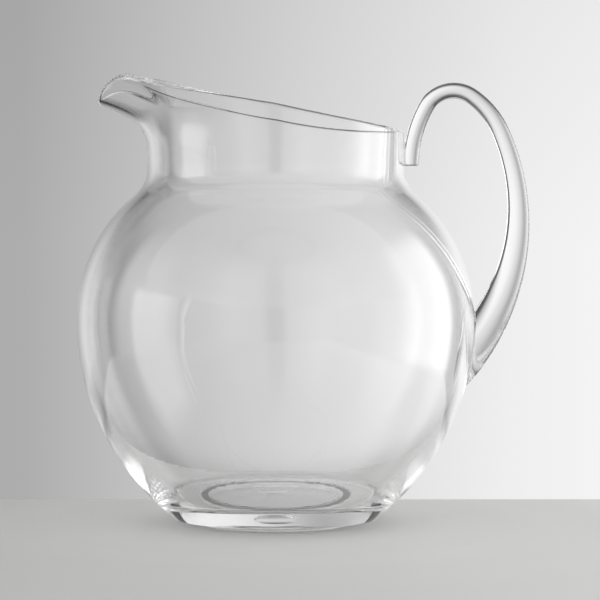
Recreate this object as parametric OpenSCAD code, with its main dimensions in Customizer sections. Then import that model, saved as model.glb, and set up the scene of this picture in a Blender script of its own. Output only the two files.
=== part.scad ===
// Clear globe pitcher: a moulded jug body with a slanted rim and a broad pouring lip,
// and a solid ear handle bonded to the neck and to the globe.
// Millimetres, +Z up, origin on the table at the body's axis, lip toward -X, handle toward +X.

/* [Globe] */
// Widest outside diameter of the globe
body_d = 190; // [182:1:198]
// Height of the widest level above the table
belly_z = 97.5; // [94:0.5:101]
// Wall thickness at the widest level and above it
wall = 4; // [3.2:0.1:5]

/* [Base] */
// Outside diameter of the base, where its curve meets the underside
base_d = 96.6; // [92:0.2:101]
// Height of the underside above the table
under_z = 2.5; // [1.5:0.1:3.5]
// Rounding of the outside bottom edge
base_edge_r = 1.5; // [0.8:0.1:2.5]
// Diameter of the inside floor, where its level meets the wall's curve
floor_d = 100; // [96:0.5:104]
// Height of the inside floor above the table
floor_z = 13; // [11:0.5:15]
// Rounding between the inside floor and the wall
floor_fillet_r = 8; // [5:0.5:10]
// Distance of the foot ring from the base's outside
foot_inset = 11.3; // [8:0.1:14]
// Width of the foot ring's flat face
foot_w = 4.5; // [3.5:0.1:6]
// Diameter of the moulding dimple in the underside
gate_d = 14; // [10:0.5:18]
// Depth of the moulding dimple
gate_depth = 0.8; // [0.5:0.1:1.2]

/* [Neck and lip] */
// Height of the neck's root above the widest level
neck_rise = 71.6; // [68.5:0.1:74.5]
// Outside diameter of the neck
neck_d = 123.2; // [119:0.2:127]
// Rounding between the neck and the globe
neck_fillet_r = 15; // [12:0.5:18]
// Height of the rim beside the axis, above the neck's root
rim_h = 25.5; // [23:0.1:28]
// Rise of the rim from the axis toward the lip
rim_rise = 13.6; // [11:0.2:15]
// Extra lift of the rim at the lip and at the handle
rim_crown = 4.5; // [3:0.1:6]
// How far the lip leans out past the neck
lip_reach = 22.5; // [18:0.5:25]
// How far the lip's middle hangs below its shoulders
lip_droop = 13; // [10:0.5:15]
// Half of the angle that the hanging middle of the lip takes up
lip_spread_angle = 36; // [30:1:42]
// Wall thickness at the rim
lip_wall = 3.2; // [2.6:0.1:3.8]

/* [Handle] */
// Height of the handle's upper tip above the neck's root
tip_rise = 1.9; // [0.8:0.1:3]
// Depth of the tip that the neck's saddle takes away
tip_saddle = 1; // [0.7:0.1:1.4]
// Heading of the handle at its tip, from the horizontal
tip_angle = 91; // [89:0.5:93]
// Bend radius of the limb above the tip
limb_r = 55.9; // [50:0.1:62]
// Angle of that bend
limb_angle = 30.6; // [28:0.2:33]
// Bend radius over the crest
hook_r = 15; // [13:0.5:17]
// Angle from the line between crest and foot to the heading after the crest
shoulder_angle = 50.5; // [47:0.5:54]
// Bend radius of the shoulder after the crest
bow_r = 40.6; // [37:0.2:44]
// Distance of the foot's middle below the globe's widest level
foot_drop = 12.3; // [9:0.1:16]
// Downward heading of the handle at its foot, from the horizontal
foot_angle = 128.7; // [126:0.1:131]
// Length of the middle line that runs on inside the globe and is cut away there
foot_bury = 20.3; // [18:0.1:22]
// Thickness at the tip
tip_t = 7.5; // [6.8:0.1:8.2]
// Thickness at three tenths of the length
crest_t = 7.9; // [7.2:0.1:8.6]
// Thickness at six tenths of the length
grip_t = 11.1; // [10:0.1:12]
// Thickness at the end that is cut away in the globe
foot_t = 23.4; // [21:0.2:25]
// Width at the tip
tip_w = 7.5; // [6.8:0.1:8.2]
// Width at three tenths of the length
crest_w = 7.9; // [7.2:0.1:8.6]
// Width at six tenths of the length
grip_w = 11.1; // [10:0.1:12]
// Width at the end that is cut away in the globe
foot_end_w = 23.4; // [21:0.2:25]

/* [Bonds] */
// Thickness of the adhesive under both ends of the handle
bond_t = 0.6; // [0.4:0.05:0.9]

/* [Hidden] */
$fn = 144;
// Small overrun for cuts and for embedded roots
over = 1.5;
// Lap of the neck's rounding into the curves that it joins, so that they meet in a clean edge
curve_lap = 0.004;
// Straight length of neck above its rounding, where the lip's wall takes over
neck_straight = 2;
// Step that keeps the lip's root inside the neck wall
lip_inset = 0.06;
// Shape number of the lip's outward curve
lip_power = 4;
// Counts of steps around and along the free forms
lip_turns = 84;
lip_rows = 9;
bead_rows = 5;
arc_rows = [9, 14, 9, 22];
rod_turns = 24;
// Shares of the handle's length where its thickness is given
crest_share = 0.3;
grip_share = 0.6;
// Fine step for slopes
slope_share = 0.002;
slope_angle = 0.2;

// Radius of a curve that starts upright and runs in by dx over a height dz
function curve_r(dx, dz) = (dx * dx + dz * dz) / (2 * dx);
// Point of a circle on the line from its centre through q
function through(c, r, q) = c + r * (q - c) / norm(q - c);
// Sideways reach of a circle of radius r at a height h from its centre
function reach_at(r, h) = sqrt(r * r - h * h);

body_r = body_d / 2;
neck_r = neck_d / 2;
in_r = body_r - wall;
foot_r = base_d / 2 - foot_inset;
fillet_x = neck_r + neck_fillet_r;
neck_in = body_r - fillet_x;
neck_z = belly_z + neck_rise;
upper_curve_r = (pow(neck_in, 2) + pow(neck_rise, 2) - pow(neck_fillet_r, 2))
    / (2 * (neck_fillet_r + neck_in));
lower_curve_r = curve_r(body_r - base_d / 2, belly_z - under_z);
lower_inside_r = curve_r(in_r - floor_d / 2, belly_z - floor_z);
upper_c = [body_r - upper_curve_r, belly_z];
lower_c = [body_r - lower_curve_r, belly_z];
inside_c = [in_r - lower_inside_r, belly_z];
lip_z = neck_z + neck_straight;
seat_z = lip_z - over / 2;
rim_z = neck_z + rim_h;
floor_q_z = floor_z + floor_fillet_r;
floor_q = [inside_c[0] + reach_at(lower_inside_r - floor_fillet_r, belly_z - floor_q_z), floor_q_z];
edge_q_z = under_z + base_edge_r;
edge_q = [lower_c[0] + reach_at(lower_curve_r - base_edge_r, belly_z - edge_q_z), edge_q_z];

// Corner piece that a rounding of radius r about q takes away, between a level and a curve
module corner(c, round_r, q, r, level) {
    b = through(c, round_r, q);
    difference() {
        polygon([q, [q[0], level], [q[0] + over, level - over], b + [over, -over], b]);
        translate(q) circle(r = r);
    }
}

// Half section from the widest level to the neck's root: the upper curve, then the rounding into the neck
module shoulder_half(grow) {
    turn_h = neck_rise * (upper_curve_r + grow) / (upper_curve_r + neck_fillet_r);
    intersection() {
        square([body_d, neck_rise]);
        translate([upper_c[0], 0]) circle(r = upper_curve_r + grow);
    }
    difference() {
        translate([0, turn_h]) square([fillet_x, neck_rise - turn_h]);
        translate([fillet_x, neck_rise]) circle(r = neck_fillet_r - grow + curve_lap);
    }
}

// Half section bounded by the outside curves, wide by grow
module outside_half(grow, top) {
    fall = belly_z - under_z + grow;
    translate([0, belly_z]) {
        intersection() {
            translate([0, -fall]) square([body_d, fall]);
            translate([lower_c[0], 0]) circle(r = lower_curve_r + grow);
        }
        shoulder_half(grow);
        square([neck_r + grow, top - belly_z]);
    }
}

// Half section of the room inside the body
module inside_half() {
    fall = belly_z - floor_z;
    difference() {
        translate([0, belly_z]) intersection() {
            translate([0, -fall]) square([body_d, fall]);
            translate([inside_c[0], 0]) circle(r = lower_inside_r);
        }
        corner(inside_c, lower_inside_r, floor_q, floor_fillet_r, floor_z);
    }
    translate([0, belly_z]) {
        shoulder_half(-wall);
        square([neck_r - wall, lip_z - belly_z + over]);
    }
}

// Rim height at an angle from the lip's middle
function droop_share(a) = abs(a) < lip_spread_angle ? pow(cos(90 * a / lip_spread_angle), 2) : 0;
function rim_at(a) =
    rim_z + rim_rise * cos(a) + rim_crown * pow(cos(a), 2) - lip_droop * droop_share(a);

// Outside skin of the neck and lip: angle a from the lip's middle, share u of the height
function skin(a, u) = [
    -(neck_r - lip_inset) * cos(a) - lip_reach * max(cos(a), 0) * pow(u, lip_power),
    (neck_r - lip_inset) * sin(a),
    lip_z + u * (rim_at(a) - lip_z)
];
function unit(v) = v / norm(v);
function rise_dir(a, u) = unit(skin(a, u + slope_share) - skin(a, u - slope_share));
function turn_dir(a, u) = unit(skin(a + slope_angle, u) - skin(a - slope_angle, u));
function out_dir(a, u) = unit(cross(rise_dir(a, u), turn_dir(a, u)));
function wall_at(u) = (wall - 2 * lip_inset) * (1 - u) + lip_wall * u;
function row_share(i) = sin(90 * i / lip_rows);

// Closed section of the neck and lip wall at one angle: up the outside, over the rim, down the inside
function lip_section(a) = let (
    top = skin(a, 1),
    n = out_dir(a, 1),
    t = rise_dir(a, 1),
    bead_r = lip_wall / 2,
    root_out = neck_r - lip_inset,
    root_in = neck_r - wall + lip_inset
) concat(
    [[-root_out * cos(a), root_out * sin(a), lip_z - over]],
    [for (i = [0:lip_rows]) skin(a, row_share(i))],
    [for (k = [1:bead_rows - 1]) let (e = 180 * k / bead_rows)
        top - n * bead_r + bead_r * (n * cos(e) + t * sin(e))],
    [for (i = [lip_rows:-1:0]) let (u = row_share(i)) skin(a, u) - out_dir(a, u) * wall_at(u)],
    [[-root_in * cos(a), root_in * sin(a), lip_z - over]]
);

module lip_ring() {
    rings = [for (j = [0:lip_turns - 1]) lip_section(360 * j / lip_turns - 180)];
    m = len(rings[0]);
    polyhedron(
        points = [for (ring = rings) for (p = ring) p],
        faces = [for (j = [0:lip_turns - 1]) for (k = [0:m - 1]) for (half = [0:1]) let (
            a = j * m,
            b = (j + 1) % lip_turns * m,
            k2 = (k + 1) % m
        ) half == 0 ? [a + k, b + k2, a + k2] : [a + k, b + k, b + k2]]
    );
}

module body() {
    color([0.86, 0.9, 0.92, 0.45]) union() {
        rotate_extrude() difference() {
            union() {
                difference() {
                    outside_half(0, seat_z);
                    corner(lower_c, lower_curve_r, edge_q, base_edge_r, under_z);
                }
                translate([foot_r - foot_w, 0]) square([foot_w, under_z + over]);
            }
            inside_half();
            translate([0, under_z - over]) square([gate_d / 2, gate_depth + over]);
        }
        lip_ring();
    }
}

// Handle's middle line: four bends, each turning clockwise from heading h at point p to heading g
function bend(p, h, r, g) = p + r * [sin(h) - sin(g), cos(g) - cos(h)];
// Direction to the right of a heading
function right_of(h) = [sin(h), -cos(h)];
function bearing(v) = atan2(v[1], v[0]);

// The tip lies on the neck, and the crest bends round until it aims past the foot on the globe
tip_p = [neck_r + bond_t - tip_saddle + tip_t / 2, neck_z + tip_rise];
foot_p = [lower_c[0] + reach_at(lower_curve_r, foot_drop), belly_z - foot_drop];
limb_end = tip_angle - limb_angle;
hook_p = bend(tip_p, tip_angle, limb_r, limb_end);
hook_c = hook_p + hook_r * right_of(limb_end);
hook_end = bearing(foot_p - hook_c) + shoulder_angle;
bow_p = bend(hook_p, limb_end, hook_r, hook_end);
bow_c = bow_p + bow_r * right_of(hook_end);

// The lower limb is the one arc that leaves the shoulder smoothly and meets the foot at its heading
foot_n = right_of(-foot_angle);
bow_to_foot = foot_p - bow_c;
return_r = (bow_r * bow_r - bow_to_foot * bow_to_foot) / (2 * (bow_to_foot * foot_n + bow_r));
return_c = foot_p + return_r * foot_n;
bow_end = bearing((bow_c - return_c) * sign(return_r - bow_r)) - 90;
return_p = bend(bow_p, hook_end, bow_r, bow_end);
return_end = -foot_angle - foot_bury / return_r * 180 / PI;

starts = [tip_p, hook_p, bow_p, return_p];
heads = [tip_angle, limb_end, hook_end, bow_end];
bends_r = [limb_r, hook_r, bow_r, return_r];
bends_a = heads - [limb_end, hook_end, bow_end, return_end];
lengths = [for (i = [0:3]) bends_r[i] * bends_a[i] * PI / 180];
befores = [0, lengths[0], lengths[0] + lengths[1], lengths[0] + lengths[1] + lengths[2]];
whole = befores[3] + lengths[3];
stations = concat(
    [[0, 0]],
    [for (i = [0:3]) for (k = [1:arc_rows[i]]) [i, k / arc_rows[i]]]
);
function along_share(s) = (befores[s[0]] + lengths[s[0]] * s[1]) / whole;
function thick_at(w) = lookup(w, [[0, tip_t], [crest_share, crest_t], [grip_share, grip_t], [1, foot_t]]);
function wide_at(w) = lookup(w, [[0, tip_w], [crest_share, crest_w], [grip_share, grip_w], [1, foot_end_w]]);

// Section of the handle at one station, from its thickness and width there
function rod_section(s) = let (
    g = heads[s[0]] - bends_a[s[0]] * s[1],
    p = bend(starts[s[0]], heads[s[0]], bends_r[s[0]], g),
    t = thick_at(along_share(s)) / 2,
    w = wide_at(along_share(s)) / 2
) [for (k = [0:rod_turns - 1]) let (e = 360 * k / rod_turns) [
    p[0] - sin(g) * t * cos(e),
    w * sin(e),
    p[1] + cos(g) * t * cos(e)
]];

module rod() {
    rings = [for (s = stations) rod_section(s)];
    m = rod_turns;
    last = len(rings) - 1;
    sides = [for (j = [0:last - 1]) for (k = [0:m - 1]) for (half = [0:1]) let (
        a = j * m,
        b = a + m,
        k2 = (k + 1) % m
    ) half == 0 ? [a + k, b + k, b + k2] : [a + k, b + k2, a + k2]];
    near_end = [for (k = [0:m - 1]) k];
    far_end = [for (k = [m - 1:-1:0]) last * m + k];
    polyhedron(
        points = [for (ring = rings) for (p = ring) p],
        faces = concat([near_end], sides, [far_end])
    );
}

// Everything inside the body's outside skin, grown by grow, with the neck carried on upward
module outside_solid(grow) {
    rotate_extrude() outside_half(grow, belly_z + body_d);
}

module handle() {
    color([0.84, 0.89, 0.92, 0.5]) difference() {
        rod();
        outside_solid(bond_t);
    }
}

module neck_bond() {
    color([0.92, 0.93, 0.9, 0.6]) intersection() {
        difference() {
            rod();
            outside_solid(0, $fn = 5 * $fn);
        }
        translate([0, 0, neck_z - over]) cylinder(r = neck_r + bond_t, h = body_d, $fn = 5 * $fn);
    }
}

module belly_bond() {
    color([0.92, 0.93, 0.9, 0.6]) difference() {
        intersection() {
            rod();
            rotate_extrude() intersection() {
                outside_half(bond_t, belly_z + neck_fillet_r);
                square([body_d, belly_z + neck_fillet_r]);
            }
        }
        outside_solid(0);
    }
}

body();
handle();
neck_bond();
belly_bond();
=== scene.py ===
import math

import bmesh
import bpy
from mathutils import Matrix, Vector


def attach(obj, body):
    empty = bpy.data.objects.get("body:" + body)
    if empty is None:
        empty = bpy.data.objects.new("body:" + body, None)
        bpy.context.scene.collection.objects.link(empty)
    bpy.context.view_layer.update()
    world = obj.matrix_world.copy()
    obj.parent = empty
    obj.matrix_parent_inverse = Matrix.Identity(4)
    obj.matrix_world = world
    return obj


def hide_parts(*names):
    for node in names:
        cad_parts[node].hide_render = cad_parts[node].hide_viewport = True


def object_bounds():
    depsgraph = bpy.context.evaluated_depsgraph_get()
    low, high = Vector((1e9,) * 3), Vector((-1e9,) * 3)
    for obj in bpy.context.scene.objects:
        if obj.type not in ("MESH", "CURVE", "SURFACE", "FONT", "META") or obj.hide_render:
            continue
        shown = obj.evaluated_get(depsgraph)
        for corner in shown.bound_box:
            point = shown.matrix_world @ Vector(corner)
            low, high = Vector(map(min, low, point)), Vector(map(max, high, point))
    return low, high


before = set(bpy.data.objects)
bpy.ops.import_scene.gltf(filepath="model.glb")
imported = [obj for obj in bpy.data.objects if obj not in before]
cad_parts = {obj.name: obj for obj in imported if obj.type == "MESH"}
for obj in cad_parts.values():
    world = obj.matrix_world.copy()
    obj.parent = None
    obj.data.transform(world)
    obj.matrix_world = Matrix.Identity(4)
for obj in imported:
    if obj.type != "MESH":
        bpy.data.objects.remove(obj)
cad_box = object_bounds()

# Jug body
# One clear acrylic shell, moulded in one piece: globe, short neck, slanted rim and pouring lip.
# Its wall thickens downward into a solid base, which stands on a low ring.
globe_r = 0.095
belly_z = 0.0975
wall = 0.004
base_r = 0.0483
under_z = 0.0025
base_edge_r = 0.0015
floor_r = 0.05
floor_z = 0.013
floor_round_r = 0.008
foot_r = 0.037
foot_w = 0.0045
gate_r = 0.007
gate_depth = 0.0008
edge_soft = 0.0005
neck_r = 0.0616
neck_z = 0.1691
neck_round_r = 0.015
lip_root_z = 0.1711
rim_z = 0.1946
rim_rise = 0.0136
rim_crown = 0.0045
lip_reach = 0.0225
lip_droop = 0.013
lip_spread = math.radians(36)
lip_power = 4
rim_wall = 0.0032
body_turns = 180
edge_steps = 8
globe_low_steps = 64
globe_high_steps = 46
shoulder_steps = 16
inside_low_steps = 60
floor_steps = 12
dimple_steps = 4
foot_steps = 5
lip_steps = 24
bead_steps = 8
support_reach = 0.0004
lip_share_step = 0.002
lip_angle_step = 0.004


def curve_radius(run, height):
    """Radius of a curve that starts upright and runs in by run over a height."""
    return (run * run + height * height) / (2 * run)


def arc(centre, radius, start, end, steps):
    """Points (distance from the axis, height) on a circle, from one angle to another."""
    angles = [start + (end - start) * i / steps for i in range(steps + 1)]
    return [(centre[0] + radius * math.cos(a), centre[1] + radius * math.sin(a)) for a in angles]


round_x = neck_r + neck_round_r
neck_in = globe_r - round_x
neck_rise = neck_z - belly_z
upper_r = (neck_in ** 2 + neck_rise ** 2 - neck_round_r ** 2) / (2 * (neck_round_r + neck_in))
lower_r = curve_radius(globe_r - base_r, belly_z - under_z)
inside_r = curve_radius(globe_r - wall - floor_r, belly_z - floor_z)
upper_c = (globe_r - upper_r, belly_z)
lower_c = (globe_r - lower_r, belly_z)
inside_c = (globe_r - wall - inside_r, belly_z)
round_c = (round_x, neck_z)
shoulder_turn = math.atan2(neck_rise, round_x - upper_c[0])


def corner_centre(curve_c, curve_r, corner_r, level):
    """Centre of a rounding between a level and the inside of a large curve, and where it meets the curve."""
    height = level + corner_r
    x = curve_c[0] + math.sqrt((curve_r - corner_r) ** 2 - (belly_z - height) ** 2)
    return (x, height), math.atan2(height - belly_z, x - curve_c[0])


edge_c, edge_turn = corner_centre(lower_c, lower_r, base_edge_r, under_z)
floor_c, floor_turn = corner_centre(inside_c, inside_r, floor_round_r, floor_z)


def outside_outline(grow):
    """Half outline of the outside, from the bottom edge to the neck's root, moved out by grow."""
    bottom = arc(edge_c, base_edge_r + grow, -math.pi / 2, edge_turn, edge_steps)
    globe_low = arc(lower_c, lower_r + grow, edge_turn, 0, globe_low_steps)
    globe_high = arc(upper_c, upper_r + grow, 0, shoulder_turn, globe_high_steps)
    shoulder = arc(round_c, neck_round_r - grow, shoulder_turn + math.pi, math.pi, shoulder_steps)
    return bottom + globe_low[1:] + globe_high[1:] + shoulder[1:]


def inside_outline():
    """Half outline of the inside, from the neck's root to the middle of the floor."""
    shoulder = arc(round_c, neck_round_r + wall, math.pi, shoulder_turn + math.pi, shoulder_steps)
    globe_high = arc(upper_c, upper_r - wall, shoulder_turn, 0, globe_high_steps)
    globe_low = arc(inside_c, inside_r, 0, floor_turn, inside_low_steps)
    floor_round = arc(floor_c, floor_round_r, floor_turn, -math.pi / 2, floor_steps)
    return shoulder + globe_high[1:] + globe_low[1:] + floor_round[1:]


def underside_outline():
    """Half outline of the underside: moulding dimple, flat, and the ring that the jug stands on."""
    dimple_z = under_z + gate_depth
    soft = gate_depth / 3
    ring_in = foot_r - foot_w
    left, right, down, up = math.pi, 0, 1.5 * math.pi, 0.5 * math.pi
    points = arc((gate_r - soft, dimple_z - soft), soft, up, right, dimple_steps)
    points += arc((gate_r + soft, under_z + soft), soft, left, down, dimple_steps)
    points += arc((ring_in - edge_soft, under_z - edge_soft), edge_soft, up, right, foot_steps)
    points += arc((ring_in + edge_soft, edge_soft), edge_soft, left, down, foot_steps)
    points += arc((foot_r - edge_soft, edge_soft), edge_soft, -up, right, foot_steps)
    points += arc((foot_r + edge_soft, under_z - edge_soft), edge_soft, left, up, foot_steps)
    return points


def supported(points, reach):
    """The outline with a point close to each end of every long straight run, so that it shades flat."""
    result = [points[0]]
    for before, after in zip(points, points[1:]):
        run = Vector(after) - Vector(before)
        if run.length > 4 * reach:
            step = run.normalized() * reach
            result += [tuple(Vector(before) + step), tuple(Vector(after) - step)]
        result.append(after)
    return result


def rim_height(a):
    """Height of the rim at an angle from the lip's middle."""
    droop = math.cos(0.5 * math.pi * a / lip_spread) ** 2 if abs(a) < lip_spread else 0
    return rim_z + rim_rise * math.cos(a) + rim_crown * math.cos(a) ** 2 - lip_droop * droop


def lip_skin(a, u):
    """Outside of the neck and lip at an angle from the lip's middle and a share of the height."""
    lean = lip_reach * max(math.cos(a), 0) * u ** lip_power
    height = lip_root_z + u * (rim_height(a) - lip_root_z)
    return Vector((-neck_r * math.cos(a) - lean, neck_r * math.sin(a), height))


def lip_frame(a, u):
    """Outward and rising directions of the lip's skin."""
    rise = (lip_skin(a, u + lip_share_step) - lip_skin(a, u - lip_share_step)).normalized()
    turn = (lip_skin(a + lip_angle_step, u) - lip_skin(a - lip_angle_step, u)).normalized()
    return rise.cross(turn).normalized(), rise


def lip_rows(a):
    """Points up the outside of the lip, over its rounded rim and down the inside, at one angle."""
    shares = [math.sin(0.5 * math.pi * i / lip_steps) for i in range(1, lip_steps + 1)]
    outside = [lip_skin(a, u) for u in shares]
    out, rise = lip_frame(a, 1)
    bead_c = lip_skin(a, 1) - out * rim_wall / 2
    bead = []
    for k in range(1, bead_steps):
        e = math.pi * k / bead_steps
        bead.append(bead_c + (out * math.cos(e) + rise * math.sin(e)) * rim_wall / 2)
    inside = []
    for u in reversed([0] + shares):
        thick = wall * (1 - u) + rim_wall * u
        inside.append(lip_skin(a, u) - lip_frame(a, u)[0] * thick)
    return outside + bead + inside


def turned_point(point, a):
    """A point of a half outline, turned about the axis by an angle from the lip's middle."""
    return Vector((-point[0] * math.cos(a), point[0] * math.sin(a), point[1]))


def closed_surface(name, first_pole, columns, last_pole):
    """Smooth closed mesh from one column of points per turn, closed at both ends by a pole."""
    mesh = bpy.data.meshes.new(name)
    surface = bmesh.new()
    start = surface.verts.new(first_pole)
    end = surface.verts.new(last_pole)
    grid = [[surface.verts.new(p) for p in column] for column in columns]
    for here, there in zip(grid, grid[1:] + grid[:1]):
        surface.faces.new((start, there[0], here[0]))
        for k in range(len(here) - 1):
            surface.faces.new((here[k], there[k], there[k + 1], here[k + 1]))
        surface.faces.new((here[-1], there[-1], end))
    bmesh.ops.recalc_face_normals(surface, faces=surface.faces)
    surface.to_mesh(mesh)
    surface.free()
    mesh.shade_smooth()
    piece = bpy.data.objects.new(name, mesh)
    bpy.context.scene.collection.objects.link(piece)
    return piece


below = supported(underside_outline() + outside_outline(0), support_reach) + [(neck_r, lip_root_z)]
within = supported(inside_outline(), support_reach)
body_columns = []
for turn in range(body_turns):
    angle = 2 * math.pi * turn / body_turns - math.pi
    column = [turned_point(p, angle) for p in below]
    column += lip_rows(angle)
    column += [turned_point(p, angle) for p in within]
    body_columns.append(column)
body = closed_surface("jug_body", (0, 0, under_z + gate_depth), body_columns, (0, 0, floor_z))


def moulded_surface():
    """Shared look of moulded clear acrylic: slow waves in the skin, faint tint and rubbed haze."""
    group = bpy.data.node_groups.new("moulded_surface", "ShaderNodeTree")
    face = group.interface
    for label, kind in (("Wave Scale", "NodeSocketFloat"), ("Rub Scale", "NodeSocketFloat"),
                        ("Least Haze", "NodeSocketFloat"), ("Most Haze", "NodeSocketFloat"),
                        ("Clear Tint", "NodeSocketColor"), ("Deep Tint", "NodeSocketColor")):
        face.new_socket(label, in_out="INPUT", socket_type=kind)
    face.new_socket("Tint", in_out="OUTPUT", socket_type="NodeSocketColor")
    face.new_socket("Haze", in_out="OUTPUT", socket_type="NodeSocketFloat")
    face.new_socket("Waves", in_out="OUTPUT", socket_type="NodeSocketFloat")
    nodes, links = group.nodes, group.links
    given = nodes.new("NodeGroupInput")
    result = nodes.new("NodeGroupOutput")
    place = nodes.new("ShaderNodeTexCoord")
    waves = nodes.new("ShaderNodeTexNoise")
    waves.inputs["Detail"].default_value = 1.0
    waves.inputs["Roughness"].default_value = 0.3
    rubs = nodes.new("ShaderNodeTexNoise")
    rubs.inputs["Detail"].default_value = 5.0
    haze = nodes.new("ShaderNodeMapRange")
    haze.inputs["From Min"].default_value = 0.45
    haze.inputs["From Max"].default_value = 0.75
    tint = nodes.new("ShaderNodeMix")
    tint.data_type = "RGBA"
    links.new(place.outputs["Object"], waves.inputs["Vector"])
    links.new(place.outputs["Object"], rubs.inputs["Vector"])
    links.new(given.outputs["Wave Scale"], waves.inputs["Scale"])
    links.new(given.outputs["Rub Scale"], rubs.inputs["Scale"])
    links.new(rubs.outputs["Fac"], haze.inputs["Value"])
    links.new(given.outputs["Least Haze"], haze.inputs["To Min"])
    links.new(given.outputs["Most Haze"], haze.inputs["To Max"])
    links.new(waves.outputs["Fac"], tint.inputs["Factor"])
    links.new(given.outputs["Clear Tint"], tint.inputs["A"])
    links.new(given.outputs["Deep Tint"], tint.inputs["B"])
    links.new(tint.outputs["Result"], result.inputs["Tint"])
    links.new(haze.outputs["Result"], result.inputs["Haze"])
    links.new(waves.outputs["Fac"], result.inputs["Waves"])
    return group


moulded = moulded_surface()


def clear_acrylic(name, index, wave_scale, wave_depth, rub_scale, hazes, tints):
    """Clear acrylic with its own waves, haze and tint."""
    material = bpy.data.materials.new(name)
    material.use_nodes = True
    nodes, links = material.node_tree.nodes, material.node_tree.links
    shader = nodes["Principled BSDF"]
    shader.inputs["IOR"].default_value = index
    shader.inputs["Transmission Weight"].default_value = 1.0
    skin = nodes.new("ShaderNodeGroup")
    skin.node_tree = moulded
    skin.inputs["Wave Scale"].default_value = wave_scale
    skin.inputs["Rub Scale"].default_value = rub_scale
    skin.inputs["Least Haze"].default_value = hazes[0]
    skin.inputs["Most Haze"].default_value = hazes[1]
    skin.inputs["Clear Tint"].default_value = (*tints[0], 1)
    skin.inputs["Deep Tint"].default_value = (*tints[1], 1)
    bump = nodes.new("ShaderNodeBump")
    bump.inputs["Strength"].default_value = 1.0
    bump.inputs["Distance"].default_value = wave_depth
    links.new(skin.outputs["Tint"], shader.inputs["Base Color"])
    links.new(skin.outputs["Haze"], shader.inputs["Roughness"])
    links.new(skin.outputs["Waves"], bump.inputs["Height"])
    links.new(bump.outputs["Normal"], shader.inputs["Normal"])
    return material


acrylic_index = 1.49
acrylic_hazes = (0.0, 0.012)
acrylic_tints = ((0.998, 0.999, 0.998), (0.985, 0.989, 0.987))
body.data.materials.append(clear_acrylic(
    "clear_body", acrylic_index, wave_scale=38.0, wave_depth=0.00005, rub_scale=420.0,
    hazes=acrylic_hazes, tints=acrylic_tints))
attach(body, "root")
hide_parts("body")

# Handle
# One solid round rod of clear acrylic, bent like an ear. It is thin at its upper tip and thick at the foot,
# and its two ends are cut to the shape of the neck and of the globe.
tip_rise = 0.0019
tip_saddle = 0.001
tip_heading = math.radians(91)
limb_r = 0.0559
limb_turn = math.radians(30.6)
hook_r = 0.015
shoulder_aim = math.radians(50.5)
bow_r = 0.0406
foot_drop = 0.0123
foot_heading = math.radians(-128.7)
foot_bury = 0.0203
bond_t = 0.0006
section_shares = (0, 0.3, 0.6, 1)
section_thick = (0.0075, 0.0079, 0.0111, 0.0234)
end_soft = 0.0011
end_steps = 5
end_angle = math.radians(60)
crease_angle = math.radians(35)
rod_sides = 48
limb_steps = 24
hook_steps = 36
bow_steps = 24
return_steps = 72


def right_of(heading):
    """Direction at a right angle to a heading, clockwise of it."""
    return Vector((math.sin(heading), -math.cos(heading)))


def bend(start, heading, radius, end_heading, steps):
    """Points of a clockwise bend in the jug's middle plane, without its first point."""
    centre = start + radius * right_of(heading)
    turns = [heading + (end_heading - heading) * i / steps for i in range(1, steps + 1)]
    return [centre - radius * right_of(h) for h in turns]


tip = Vector((neck_r + bond_t - tip_saddle + section_thick[0] / 2, neck_z + tip_rise))
foot_x = lower_c[0] + math.sqrt(lower_r ** 2 - foot_drop ** 2)
foot = Vector((foot_x, belly_z - foot_drop))
limb_end = tip_heading - limb_turn
rod_path = [tip] + bend(tip, tip_heading, limb_r, limb_end, limb_steps)
to_foot = foot - (rod_path[-1] + hook_r * right_of(limb_end))
hook_end = math.atan2(to_foot.y, to_foot.x) + shoulder_aim
rod_path += bend(rod_path[-1], limb_end, hook_r, hook_end, hook_steps)
bow_c = rod_path[-1] + bow_r * right_of(hook_end)
reach = foot - bow_c
foot_side = right_of(foot_heading)
return_r = (bow_r ** 2 - reach.length_squared) / (2 * (reach.dot(foot_side) + bow_r))
return_c = foot + return_r * foot_side
bow_end = math.atan2(bow_c.y - return_c.y, bow_c.x - return_c.x) - math.pi / 2
rod_path += bend(rod_path[-1], hook_end, bow_r, bow_end, bow_steps)
rod_path += bend(rod_path[-1], bow_end, return_r, foot_heading - foot_bury / return_r, return_steps)


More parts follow.
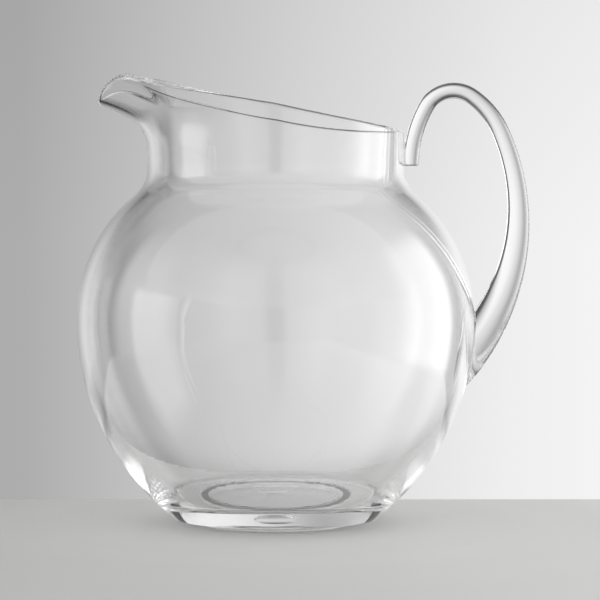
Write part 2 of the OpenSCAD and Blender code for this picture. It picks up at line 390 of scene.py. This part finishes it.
def rod_tree():
    """Geometry Nodes tree that sweeps a circle along a line, as thick as the sections say along the way."""
    tree = bpy.data.node_groups.new("round_rod", "GeometryNodeTree")
    face = tree.interface
    face.new_socket("Geometry", in_out="INPUT", socket_type="NodeSocketGeometry")
    face.new_socket("Greatest Thickness", in_out="INPUT", socket_type="NodeSocketFloat")
    face.new_socket("Sides", in_out="INPUT", socket_type="NodeSocketInt")
    face.new_socket("Finish", in_out="INPUT", socket_type="NodeSocketMaterial")
    face.new_socket("Geometry", in_out="OUTPUT", socket_type="NodeSocketGeometry")
    nodes, links = tree.nodes, tree.links
    given = nodes.new("NodeGroupInput")
    result = nodes.new("NodeGroupOutput")
    line = nodes.new("GeometryNodeMeshToCurve")
    share = nodes.new("GeometryNodeSplineParameter")
    swell = nodes.new("ShaderNodeFloatCurve")
    points = swell.mapping.curves[0].points
    for _ in range(len(section_thick) - 2):
        points.new(0.5, 0.5)
    for point, at, size in zip(points, section_shares, section_thick):
        point.location = (at, size / max(section_thick))
        point.handle_type = "AUTO_CLAMPED"
    swell.mapping.update()
    thickness = nodes.new("ShaderNodeMath")
    thickness.operation = "MULTIPLY"
    circle = nodes.new("GeometryNodeCurvePrimitiveCircle")
    circle.mode = "RADIUS"
    circle.inputs["Radius"].default_value = 0.5
    sweep = nodes.new("GeometryNodeCurveToMesh")
    sweep.inputs["Fill Caps"].default_value = True
    real = nodes.new("GeometryNodeRealizeInstances")
    finish = nodes.new("GeometryNodeSetMaterial")
    links.new(given.outputs["Geometry"], line.inputs["Mesh"])
    links.new(share.outputs["Factor"], swell.inputs["Value"])
    links.new(swell.outputs["Value"], thickness.inputs[0])
    links.new(given.outputs["Greatest Thickness"], thickness.inputs[1])
    links.new(given.outputs["Sides"], circle.inputs["Resolution"])
    links.new(line.outputs["Curve"], sweep.inputs["Curve"])
    links.new(thickness.outputs["Value"], sweep.inputs["Scale"])
    links.new(circle.outputs["Curve"], sweep.inputs["Profile Curve"])
    links.new(sweep.outputs["Mesh"], real.inputs["Geometry"])
    links.new(real.outputs["Geometry"], finish.inputs["Geometry"])
    links.new(given.outputs["Finish"], finish.inputs["Material"])
    links.new(finish.outputs["Geometry"], result.inputs["Geometry"])
    return tree


def socket_id(tree, label):
    """Identifier of an input of a Geometry Nodes tree, by its label."""
    return next(s.identifier for s in tree.interface.items_tree if s.name == label and s.in_out == "INPUT")


def plain_mesh(source, name):
    """The evaluated mesh of an object, as a new object without modifiers."""
    graph = bpy.context.evaluated_depsgraph_get()
    mesh = bpy.data.meshes.new_from_object(source.evaluated_get(graph))
    mesh.name = name
    piece = bpy.data.objects.new(name, mesh)
    bpy.context.scene.collection.objects.link(piece)
    return piece


def swept_rod(name, finish):
    """The whole rod before its ends are cut, with its two end edges rounded."""
    mesh = bpy.data.meshes.new(name + "_line")
    mesh.from_pydata([(p.x, 0, p.y) for p in rod_path], [(i, i + 1) for i in range(len(rod_path) - 1)], [])
    line = bpy.data.objects.new(name + "_line", mesh)
    bpy.context.scene.collection.objects.link(line)
    sweep = line.modifiers.new("sweep", "NODES")
    tree = rod_tree()
    sweep.node_group = tree
    sweep[socket_id(tree, "Greatest Thickness")] = max(section_thick)
    sweep[socket_id(tree, "Sides")] = rod_sides
    sweep[socket_id(tree, "Finish")] = finish
    soft = line.modifiers.new("soft_ends", "BEVEL")
    soft.width = end_soft
    soft.segments = end_steps
    soft.limit_method = "ANGLE"
    soft.angle_limit = end_angle
    rod = plain_mesh(line, name)
    bpy.data.objects.remove(line)
    return rod


def skin_solid(name, grow):
    """The body's outside as a solid, moved out by grow, with the neck carried on upward."""
    outline = outside_outline(grow) + [(neck_r + grow, cad_box[1][2] + neck_rise)]
    columns = []
    for k in range(body_turns):
        a = 2 * math.pi * k / body_turns - math.pi
        columns.append([turned_point(p, a) for p in outline])
    return closed_surface(name, (0, 0, outline[0][1]), columns, (0, 0, outline[-1][1]))


def cut(piece, tool, operation, name):
    """A new piece: the first one less, or within, the second one."""
    step = piece.modifiers.new("cut", "BOOLEAN")
    step.operation = operation
    step.solver = "EXACT"
    step.object = tool
    result = plain_mesh(piece, name)
    piece.modifiers.remove(step)
    return result


def finish_edges(piece):
    """Smooth shading, with a crease where two faces meet at more than the crease angle."""
    piece.data.shade_smooth()
    piece.data.set_sharp_from_angle(angle=crease_angle)


handle_finish = clear_acrylic(
    "clear_handle", acrylic_index, wave_scale=60.0, wave_depth=0.00003, rub_scale=500.0,
    hazes=acrylic_hazes, tints=acrylic_tints)
rod = swept_rod("rod", handle_finish)
bond_skin = skin_solid("bond_skin", bond_t)
handle = cut(rod, bond_skin, "DIFFERENCE", "ear_handle")
finish_edges(handle)
handle.data.materials.clear()
handle.data.materials.append(handle_finish)
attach(handle, "root")
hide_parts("handle")

# Adhesive pads
# Two thin films of clear adhesive, squeezed between the handle's cut ends and the body.
# They follow the neck and the globe and are trimmed flush with the handle's outline.
film_gap = 0.00003
adhesive_index = 1.47
bond_finish = clear_acrylic(
    "clear_bond", adhesive_index, wave_scale=250.0, wave_depth=0.00002, rub_scale=900.0,
    hazes=(0.01, 0.06), tints=((0.985, 0.985, 0.975), (0.96, 0.96, 0.945)))
film_inside = skin_solid("film_inside", film_gap)
film_outside = skin_solid("film_outside", bond_t - film_gap)
outer_part = cut(rod, film_outside, "INTERSECT", "film_block")
films = cut(outer_part, film_inside, "DIFFERENCE", "films")
film_bands = (("neck_film", "neck_bond", neck_z - neck_round_r, rim_z + neck_rise),
              ("belly_film", "belly_bond", under_z, belly_z + neck_round_r))
for piece_name, node_name, low, high in film_bands:
    film_mesh = bpy.data.meshes.new(piece_name)
    shape = bmesh.new()
    shape.from_mesh(films.data)
    outside_band = [v for v in shape.verts if not low < v.co.z < high]
    bmesh.ops.delete(shape, geom=outside_band, context="VERTS")
    shape.to_mesh(film_mesh)
    shape.free()
    film = bpy.data.objects.new(piece_name, film_mesh)
    bpy.context.scene.collection.objects.link(film)
    finish_edges(film)
    film.data.materials.clear()
    film.data.materials.append(bond_finish)
    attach(film, "root")
    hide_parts(node_name)
for scrap in (rod, bond_skin, film_inside, film_outside, outer_part, films):
    bpy.data.objects.remove(scrap)

# Table
# A pale matt table top, wider than the picture, that ends a hand's width behind the jug. It is paler toward
# the right, and close to the jug, where the clear walls would shade it more than they do in the photograph.
table_back = 0.103
table_left = -0.45
table_right = 0.32
table_front = -0.6
table_t = 0.03
table_gloss = 0.25
table_roughness = 0.55
table_tint = (1, 1, 0.99)
# Greys across the table, by place in metres: the table's own pale grey with painted light, paler toward the
# right as if lit from that side, darkest just left of the jug and paler again further left
grey_and_painted_light_by_x = ((-0.6, 0.85), (-0.24, 0.7), (-0.144, 0.53), (0.0, 0.61), (0.156, 0.71), (0.192, 0.78),
              (0.264, 1.0), (0.6, 1.0))
# Painted light: how much paler the table is by distance from the jug's axis, a painted pool of light that
# offsets the shade of the clear walls
painted_light_by_distance = ((0.0, 1.6), (0.066, 1.42), (0.111, 1.2), (0.159, 1.08), (0.219, 1.02), (0.3, 1.0))
table_mesh = bpy.data.meshes.new("table")
slab = bmesh.new()
bmesh.ops.create_cube(slab, size=1)
for corner in slab.verts:
    corner.co.x = table_right if corner.co.x > 0 else table_left
    corner.co.y = table_back if corner.co.y > 0 else table_front
    corner.co.z = 0 if corner.co.z > 0 else -table_t
slab.to_mesh(table_mesh)
slab.free()
table = bpy.data.objects.new("table", table_mesh)
bpy.context.scene.collection.objects.link(table)


def grey_scale(tree, value, stops, tint=(1, 1, 1)):
    """Nodes that turn a value into a grey, from (value, grey) stops in rising order."""
    first, last = stops[0][0], stops[-1][0]
    span = tree.nodes.new("ShaderNodeMapRange")
    span.inputs["From Min"].default_value = first
    span.inputs["From Max"].default_value = last
    ramp = tree.nodes.new("ShaderNodeValToRGB")
    elements = ramp.color_ramp.elements
    while len(elements) < len(stops):
        elements.new(0.5)
    for element, (at, grey) in zip(elements, stops):
        element.position = (at - first) / (last - first)
        element.color = (grey * tint[0], grey * tint[1], grey * tint[2], 1)
    tree.links.new(value, span.inputs["Value"])
    tree.links.new(span.outputs["Result"], ramp.inputs["Fac"])
    return ramp.outputs["Color"]


def product(tree, first, second):
    """Node that multiplies two colours."""
    mix = tree.nodes.new("ShaderNodeMix")
    mix.data_type = "RGBA"
    mix.blend_type = "MULTIPLY"
    mix.inputs["Factor"].default_value = 1.0
    tree.links.new(first, mix.inputs["A"])
    tree.links.new(second, mix.inputs["B"])
    return mix.outputs["Result"]


def place_parts(tree, place):
    """Node that splits a place into its X, Y and Z."""
    parts = tree.nodes.new("ShaderNodeSeparateXYZ")
    tree.links.new(place, parts.inputs["Vector"])
    return parts.outputs


def pale_table():
    """Matt paint with painted light in its grey: set by the place across the table, and raised toward the
    jug's axis as a painted pool of light against the walls' shade.
    """
    material = bpy.data.materials.new("pale_table")
    material.use_nodes = True
    tree = material.node_tree
    shader = tree.nodes["Principled BSDF"]
    shader.inputs["Roughness"].default_value = table_roughness
    shader.inputs["Specular IOR Level"].default_value = table_gloss
    place = tree.nodes.new("ShaderNodeTexCoord").outputs["Object"]
    parts = place_parts(tree, place)
    level = tree.nodes.new("ShaderNodeVectorMath")
    level.operation = "MULTIPLY"
    level.inputs[1].default_value = (1, 1, 0)
    distance = tree.nodes.new("ShaderNodeVectorMath")
    distance.operation = "LENGTH"
    tree.links.new(place, level.inputs[0])
    tree.links.new(level.outputs["Vector"], distance.inputs[0])
    grey = grey_scale(tree, parts["X"], grey_and_painted_light_by_x, table_tint)
    painted_pool = grey_scale(tree, distance.outputs["Value"], painted_light_by_distance)
    # The table's grey times the painted pool of light near the jug
    tree.links.new(product(tree, grey, painted_pool), shader.inputs["Base Color"])
    return material


table.data.materials.append(pale_table())

# Backdrop
# A wide sheet of paper far behind the table, paler toward the right and dim at its top and bottom.
# It hangs free, and shows by its own glow, which adds nothing to the light on the table.
backdrop_y = 1.8
backdrop_left = -2.6
backdrop_right = 1.75
backdrop_low = -1.2
backdrop_high = 2.2
paper_grey = 0.5
glow_by_x = ((-1.19, 0.7), (-0.953, 0.62), (-0.716, 0.47), (-0.479, 0.41), (-0.37, 0.42), (0.028, 0.695),
             (0.303, 0.865), (0.445, 0.91), (0.706, 0.97))
fade_by_height = ((-1.2, 0.03), (-0.84, 0.06), (-0.6, 0.45), (-0.39, 0.78), (-0.3, 0.96), (-0.24, 1.0),
                  (0.165, 1.0), (0.501, 0.92), (0.78, 0.7), (1.08, 0.2), (1.5, 0.08))
backdrop_mesh = bpy.data.meshes.new("backdrop")
backdrop_mesh.from_pydata(
    [(backdrop_left, backdrop_y, backdrop_low), (backdrop_right, backdrop_y, backdrop_low),
     (backdrop_right, backdrop_y, backdrop_high), (backdrop_left, backdrop_y, backdrop_high)],
    [], [(0, 1, 2, 3)])
backdrop = bpy.data.objects.new("backdrop", backdrop_mesh)
bpy.context.scene.collection.objects.link(backdrop)


def seen_rays(tree, path):
    """One for rays from the camera, off gloss and through clear walls, and nought for all others."""
    seen = path.outputs["Is Camera Ray"]
    for kind in ("Is Glossy Ray", "Is Transmission Ray"):
        either = tree.nodes.new("ShaderNodeMath")
        either.operation = "MAXIMUM"
        tree.links.new(seen, either.inputs[0])
        tree.links.new(path.outputs[kind], either.inputs[1])
        seen = either.outputs["Value"]
    return seen


def mixed_shader(tree, share, first, second, out):
    """Node that mixes two shaders by a share and gives the result to the tree's output."""
    mix = tree.nodes.new("ShaderNodeMixShader")
    tree.links.new(share, mix.inputs["Fac"])
    tree.links.new(first, mix.inputs[1])
    tree.links.new(second, mix.inputs[2])
    tree.links.new(mix.outputs["Shader"], out.inputs["Surface"])


def paper_backdrop():
    """Paper that glows for the camera, for reflections and through clear walls, and is dull otherwise."""
    material = bpy.data.materials.new("paper_backdrop")
    material.use_nodes = True
    tree = material.node_tree
    tree.nodes.clear()
    out = tree.nodes.new("ShaderNodeOutputMaterial")
    parts = place_parts(tree, tree.nodes.new("ShaderNodeTexCoord").outputs["Object"])
    across = grey_scale(tree, parts["X"], glow_by_x)
    upward = grey_scale(tree, parts["Z"], fade_by_height)
    glow = tree.nodes.new("ShaderNodeEmission")
    tree.links.new(product(tree, across, upward), glow.inputs["Color"])
    dull = tree.nodes.new("ShaderNodeBsdfDiffuse")
    dull.inputs["Color"].default_value = (paper_grey, paper_grey, paper_grey, 1)
    seen = seen_rays(tree, tree.nodes.new("ShaderNodeLightPath"))
    mixed_shader(tree, seen, dull.outputs["BSDF"], glow.outputs["Emission"], out)
    return material


backdrop.data.materials.append(paper_backdrop())

# Softbox
# A tall soft light close by the jug's right side, out of the picture. Its cloth glows toward the jug only,
# fades out at its edges, and adds nothing to the light on the table.
softbox_x = 0.5
softbox_front = -0.24
softbox_back = 0.23
softbox_low = -0.08
softbox_high = 0.56
softbox_glow = 2.4
front_fade = 0.2
back_fade = 0.06
low_fade = 0.06
high_fade = 0.2
softbox_mesh = bpy.data.meshes.new("softbox")
softbox_mesh.from_pydata(
    [(softbox_x, softbox_front, softbox_low), (softbox_x, softbox_front, softbox_high),
     (softbox_x, softbox_back, softbox_high), (softbox_x, softbox_back, softbox_low)],
    [], [(0, 1, 2, 3)])
softbox = bpy.data.objects.new("softbox", softbox_mesh)
bpy.context.scene.collection.objects.link(softbox)
softbox.visible_diffuse = False


def softbox_cloth():
    """Cloth that glows on its front, and is clear from behind and toward its edges."""
    material = bpy.data.materials.new("softbox_cloth")
    material.use_nodes = True
    tree = material.node_tree
    tree.nodes.clear()
    out = tree.nodes.new("ShaderNodeOutputMaterial")
    parts = place_parts(tree, tree.nodes.new("ShaderNodeTexCoord").outputs["Object"])
    face = tree.nodes.new("ShaderNodeNewGeometry")
    front = tree.nodes.new("ShaderNodeMath")
    front.operation = "SUBTRACT"
    front.inputs[0].default_value = 1.0
    tree.links.new(face.outputs["Backfacing"], front.inputs[1])
    shown = front.outputs["Value"]
    for axis, edge, inner in (("Y", softbox_front, softbox_front + front_fade),
                              ("Y", softbox_back, softbox_back - back_fade),
                              ("Z", softbox_low, softbox_low + low_fade),
                              ("Z", softbox_high, softbox_high - high_fade)):
        border = tree.nodes.new("ShaderNodeMapRange")
        border.interpolation_type = "SMOOTHSTEP"
        border.inputs["From Min"].default_value = edge
        border.inputs["From Max"].default_value = inner
        fade = tree.nodes.new("ShaderNodeMath")
        fade.operation = "MULTIPLY"
        tree.links.new(parts[axis], border.inputs["Value"])
        tree.links.new(border.outputs["Result"], fade.inputs[0])
        tree.links.new(shown, fade.inputs[1])
        shown = fade.outputs["Value"]
    glow = tree.nodes.new("ShaderNodeEmission")
    glow.inputs["Strength"].default_value = softbox_glow
    clear = tree.nodes.new("ShaderNodeBsdfTransparent")
    mixed_shader(tree, shown, clear.outputs["BSDF"], glow.outputs["Emission"], out)
    return material


softbox.data.materials.append(softbox_cloth())

# Studio light
# An even white dome lights the table. What is seen of the room, straight or in the clear walls, is a ring of
# panels with dark gaps between them and a slit for the lens, a dark floor and a pale even ceiling.
panels_by_bearing = (
    (-180, 1.2), (-145, 0.9), (-126, 0.2), (-118, 0.1), (-108, 0.12), (-101, 1.5), (-74, 1.5), (-62, 0.9),
    (-40, 0.9), (-27, 1.3), (-8, 0.8), (-3, 0.15), (3, 0.15), (8, 0.7), (26, 1.0), (46, 0.8), (62, 0.8),
    (100, 0.8), (112, 0.3), (118, 0.12), (134, 0.12), (142, 1.2), (180, 1.2))
fade_by_rise = ((-1.0, 0.04), (-0.44, 0.1), (-0.28, 0.62), (-0.12, 0.72), (0.0, 0.8), (0.12, 0.92),
                (0.24, 1.0))
ceiling_grey = 0.6
ceiling_from = 0.4
ceiling_to = 0.8
studio = bpy.data.worlds.new("studio")
bpy.context.scene.world = studio
studio.use_nodes = True
studio_tree = studio.node_tree
nodes, links = studio_tree.nodes, studio_tree.links
nodes.clear()
studio_out = nodes.new("ShaderNodeOutputWorld")
aim_parts = place_parts(studio_tree, nodes.new("ShaderNodeTexCoord").outputs["Generated"])
toward_lens = nodes.new("ShaderNodeMath")
toward_lens.operation = "MULTIPLY"
toward_lens.inputs[1].default_value = -1.0
bearing = nodes.new("ShaderNodeMath")
bearing.operation = "ARCTAN2"
links.new(aim_parts["Y"], toward_lens.inputs[0])
links.new(aim_parts["X"], bearing.inputs[0])
links.new(toward_lens.outputs["Value"], bearing.inputs[1])
panel_stops = [(math.radians(degrees), grey) for degrees, grey in panels_by_bearing]
panels = grey_scale(studio_tree, bearing.outputs["Value"], panel_stops)
panel_fade = grey_scale(studio_tree, aim_parts["Z"], fade_by_rise)
overhead = nodes.new("ShaderNodeMapRange")
overhead.interpolation_type = "SMOOTHSTEP"
overhead.inputs["From Min"].default_value = ceiling_from
overhead.inputs["From Max"].default_value = ceiling_to
room = nodes.new("ShaderNodeMix")
room.data_type = "RGBA"
room.inputs["B"].default_value = (ceiling_grey, ceiling_grey, ceiling_grey, 1)
room_glow = nodes.new("ShaderNodeBackground")
links.new(aim_parts["Z"], overhead.inputs["Value"])
links.new(overhead.outputs["Result"], room.inputs["Factor"])
links.new(product(studio_tree, panels, panel_fade), room.inputs["A"])
links.new(room.outputs["Result"], room_glow.inputs["Color"])
dome_glow = nodes.new("ShaderNodeBackground")
dome_glow.inputs["Color"].default_value = (1, 1, 1, 1)
studio_path = nodes.new("ShaderNodeLightPath")
not_from_table = nodes.new("ShaderNodeMath")
not_from_table.operation = "LESS_THAN"
not_from_table.inputs[1].default_value = 0.5
room_shown = nodes.new("ShaderNodeMath")
room_shown.operation = "MULTIPLY"
links.new(studio_path.outputs["Diffuse Depth"], not_from_table.inputs[0])
links.new(seen_rays(studio_tree, studio_path), room_shown.inputs[0])
links.new(not_from_table.outputs["Value"], room_shown.inputs[1])
mixed_shader(studio_tree, room_shown.outputs["Value"], dome_glow.outputs["Background"],
             room_glow.outputs["Background"], studio_out)

# Camera
# It stands almost level with the jug's middle, about a metre in front, with a long lens.
# Light runs on inside thick clear walls, so its paths need many inner reflections.
lens_height = 0.115
lens_distance = 0.9595
lens_side = 0.0116
lens_drop = math.radians(0.487)
lens_length = 120
lens_film = 36
light_bounces = 256
lens = bpy.data.cameras.new("camera")
lens.lens = lens_length
lens.sensor_width = lens_film
camera = bpy.data.objects.new("camera", lens)
camera.location = (lens_side, -lens_distance, lens_height)
camera.rotation_euler = (math.pi / 2 - lens_drop, 0, 0)
bpy.context.scene.collection.objects.link(camera)
bpy.context.scene.camera = camera
bpy.context.scene.view_settings.view_transform = "Standard"
bpy.context.scene.cycles.max_bounces = light_bounces
bpy.context.scene.cycles.glossy_bounces = light_bounces
bpy.context.scene.cycles.transmission_bounces = light_bounces
